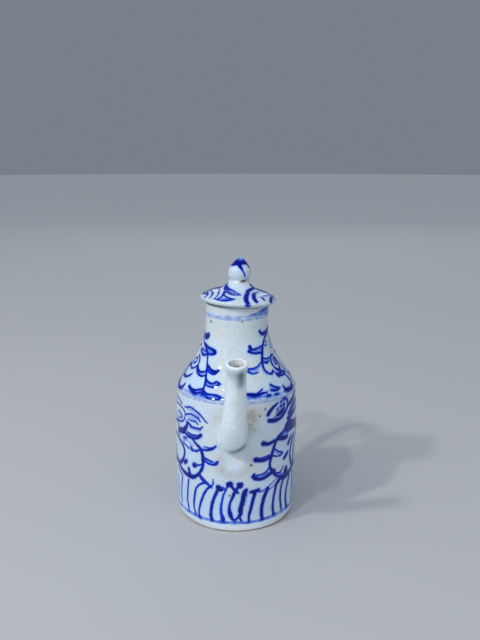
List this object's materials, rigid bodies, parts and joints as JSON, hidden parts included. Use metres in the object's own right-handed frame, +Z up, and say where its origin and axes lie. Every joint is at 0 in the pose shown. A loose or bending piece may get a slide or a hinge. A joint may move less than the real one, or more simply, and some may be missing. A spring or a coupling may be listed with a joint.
{
  "type": "teapot",
  "caption": "Bottle-shaped blue-and-white porcelain teapot with a front spout, an ear handle at the back and a lift-off domed lid with a bud knob.",
  "frame": {"origin": "centre of the foot ring, on the surface that the pot stands on", "axes": "+Z up along the pot's axis, -Y towards the spout, +Y towards the handle, +X to the right seen from the spout's side"},
  "size_m": [0.0724, 0.1341, 0.1551],
  "materials": {
    "painted_porcelain": "glossy bluish white glaze over cobalt brushwork",
    "plain_porcelain": "glossy bluish white glaze"
  },
  "bodies": {
    "pot": {"belly": "painted_porcelain", "shoulder_neck": "painted_porcelain", "spout": "plain_porcelain", "handle": "painted_porcelain"},
    "lid": {"lid": "painted_porcelain", "finial": "painted_porcelain"}
  },
  "joints": [
    {"name": "lid_lift", "type": "slide", "parent": "pot", "child": "lid", "axis": [0, 0, 1], "range_m": [0, 0.04]}
  ]
}
